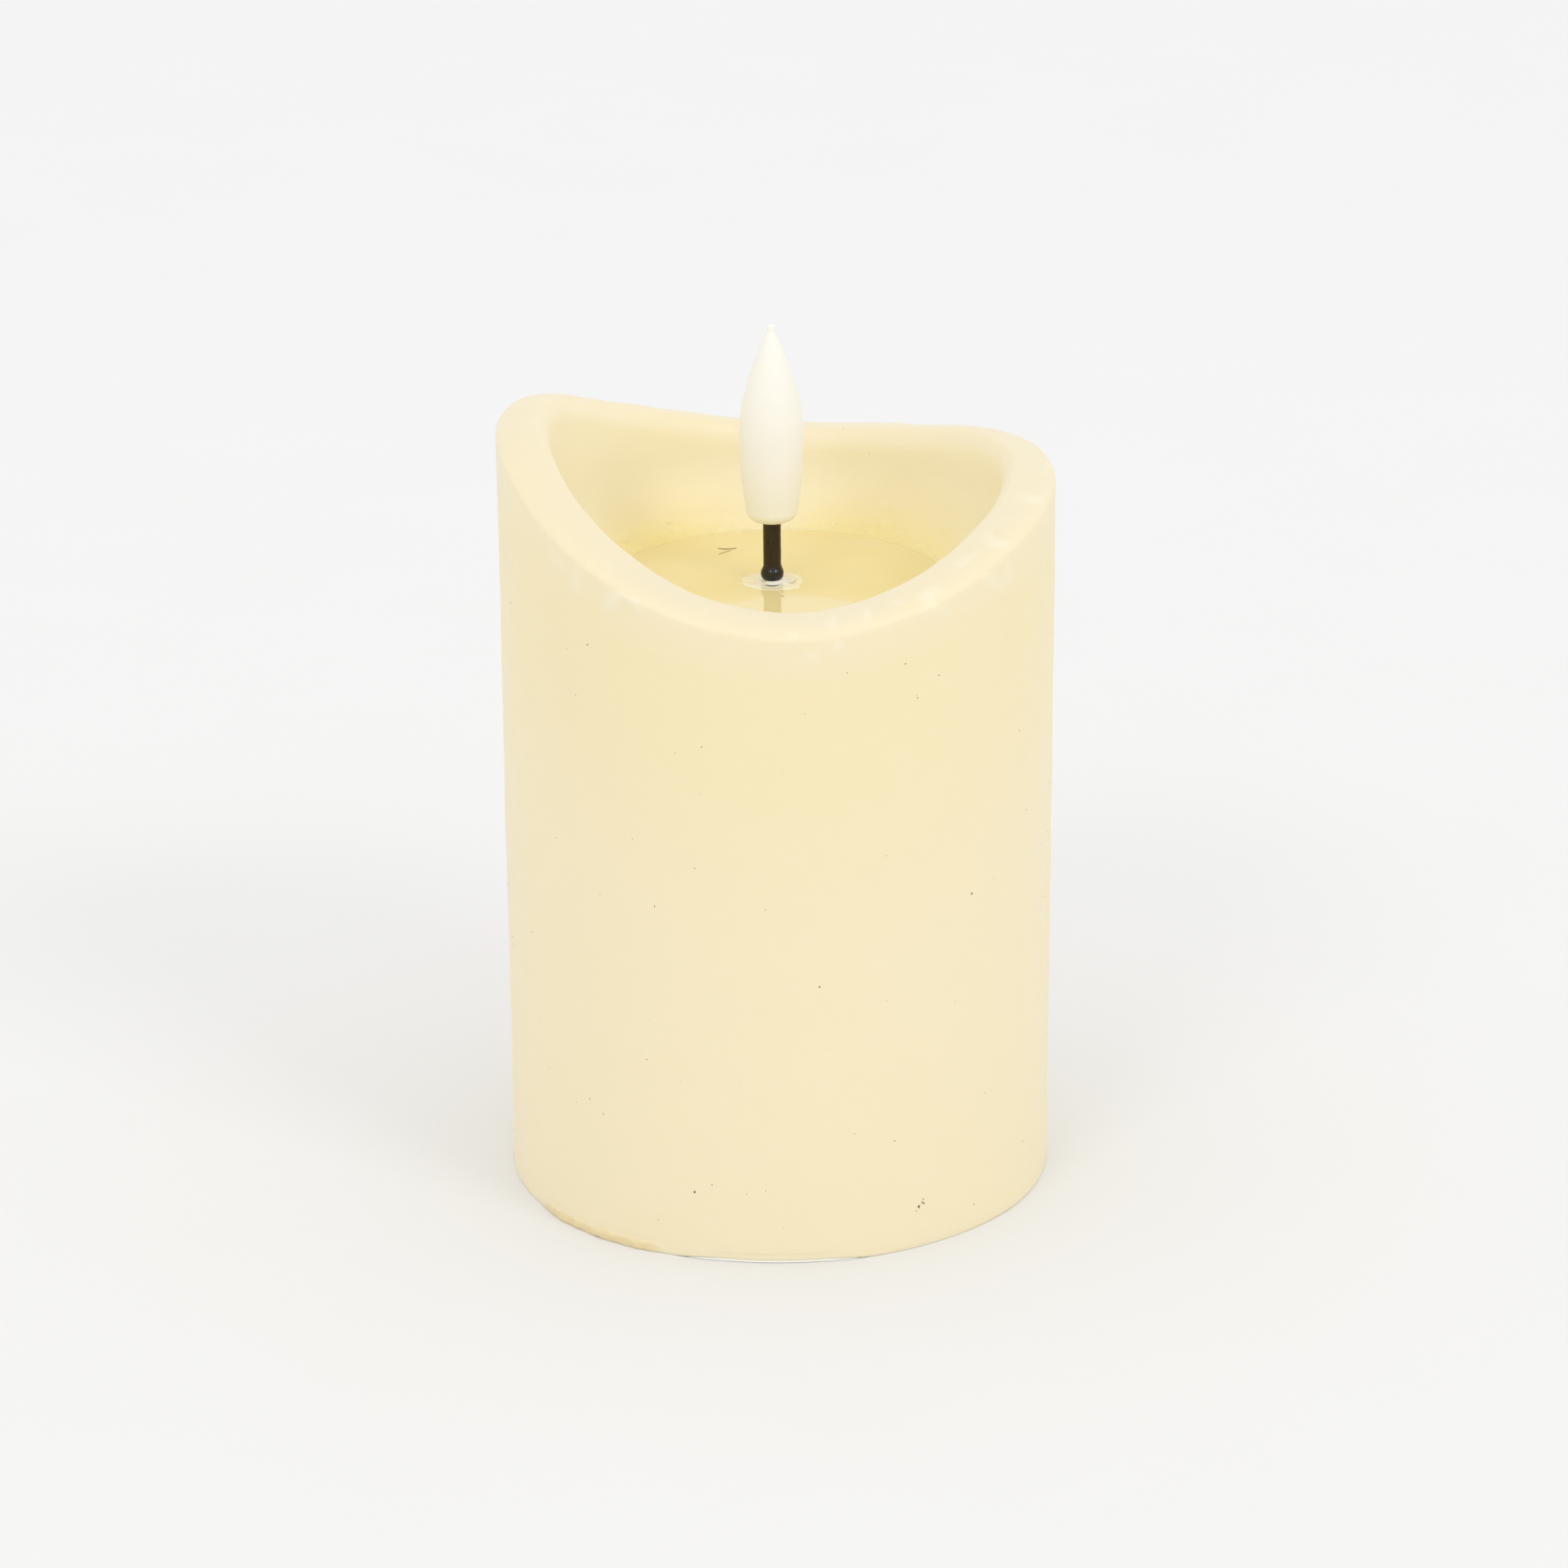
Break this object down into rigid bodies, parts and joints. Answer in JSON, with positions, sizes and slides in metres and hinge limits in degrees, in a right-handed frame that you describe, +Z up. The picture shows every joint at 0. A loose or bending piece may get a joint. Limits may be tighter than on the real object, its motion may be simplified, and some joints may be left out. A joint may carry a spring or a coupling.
{
  "type": "flameless led candle",
  "caption": "Flameless LED pillar candle in ivory wax with a wavy melted-look rim, a moulded flame on a black wick, and a base with a hinged battery door and slide switch.",
  "frame": {"origin": "centre of the flat bottom of the wax, on the table", "axes": "+Z up along the candle; the low side of the rim, its front, faces -Y; the high side of the rim is at -X"},
  "size_m": [0.07, 0.07, 0.1121],
  "materials": {
    "wax": "real paraffin wax, ivory, smooth satin, slightly translucent",
    "pool_wax": "poured pale yellow wax, glossy and flat like a melted pool",
    "core_plastic": "moulded ivory ABS, fine matt",
    "wick_black": "black-brown sleeve, semi gloss",
    "wick_gloss": "hardened black bead, high gloss",
    "clear_glue": "clear set adhesive, milky at the edge",
    "flame_plastic": "frosted white translucent plastic",
    "led_lens": "clear epoxy lens over a warm phosphor",
    "tinned_steel": "tinned sheet metal, dull bright",
    "wire_red": "red PVC insulation",
    "wire_black": "black PVC insulation",
    "hot_glue": "milky hot-melt glue",
    "base_plastic": "moulded ivory ABS with a fine texture",
    "door_plastic": "moulded ivory ABS with a fine texture",
    "lock_plastic": "moulded ivory ABS, ribbed",
    "knob_black": "moulded black nylon",
    "screw_steel": "zinc plated steel",
    "battery_can": "nickel plated can",
    "battery_film": "plain shrink film, dark green with a copper band",
    "contact_nickel": "nickel plated strip",
    "spring_steel": "nickel plated spring wire",
    "circuit_board": "green solder mask",
    "chip_black": "black epoxy package",
    "resistor_tan": "lacquered ceramic",
    "capacitor_film": "dark blue shrink film"
  },
  "bodies": {
    "candle": {"wax_shell": "wax", "melt_pool": "pool_wax", "wick_bushing": "core_plastic", "wick_tube": "wick_black", "wick_bead": "wick_gloss", "wick_seal": "clear_glue", "flame_diffuser": "flame_plastic", "flame_led": "led_lens", "led_legs": "tinned_steel", "led_wire_red": "wire_red", "led_wire_black": "wire_black", "core_housing": "core_plastic", "glue_beads": "hot_glue", "base_plate": "base_plastic", "base_screws": "screw_steel", "battery_left": "battery_can", "battery_right": "battery_can", "battery_jackets": "battery_film", "positive_contact": "contact_nickel", "negative_contact": "contact_nickel", "negative_spring": "spring_steel", "battery_wire_red": "wire_red", "battery_wire_black": "wire_black", "door_pin": "screw_steel", "timer_board": "circuit_board", "board_screws": "screw_steel", "timer_chip": "chip_black", "chip_legs": "tinned_steel", "timer_crystal": "tinned_steel", "dropper_resistor": "resistor_tan", "filter_capacitor": "capacitor_film", "slide_switch": "tinned_steel"},
    "battery_door": {"battery_door": "door_plastic", "bridge_plate": "contact_nickel", "bridge_spring": "spring_steel"},
    "door_lock": {"door_lock": "lock_plastic"},
    "switch_knob": {"switch_knob": "knob_black"}
  },
  "joints": [
    {"name": "door_hinge", "type": "hinge", "parent": "candle", "child": "battery_door", "pos_m": [0, 0.018, 0.00315], "axis": [1, 0, 0], "range_deg": [0, 90]},
    {"name": "lock_slide", "type": "slide", "parent": "battery_door", "child": "door_lock", "axis": [0, 1, 0], "range_m": [0, 0.0016]},
    {"name": "switch_slide", "type": "slide", "parent": "candle", "child": "switch_knob", "axis": [1, 0, 0], "range_m": [-0.002, 0.002]}
  ]
}
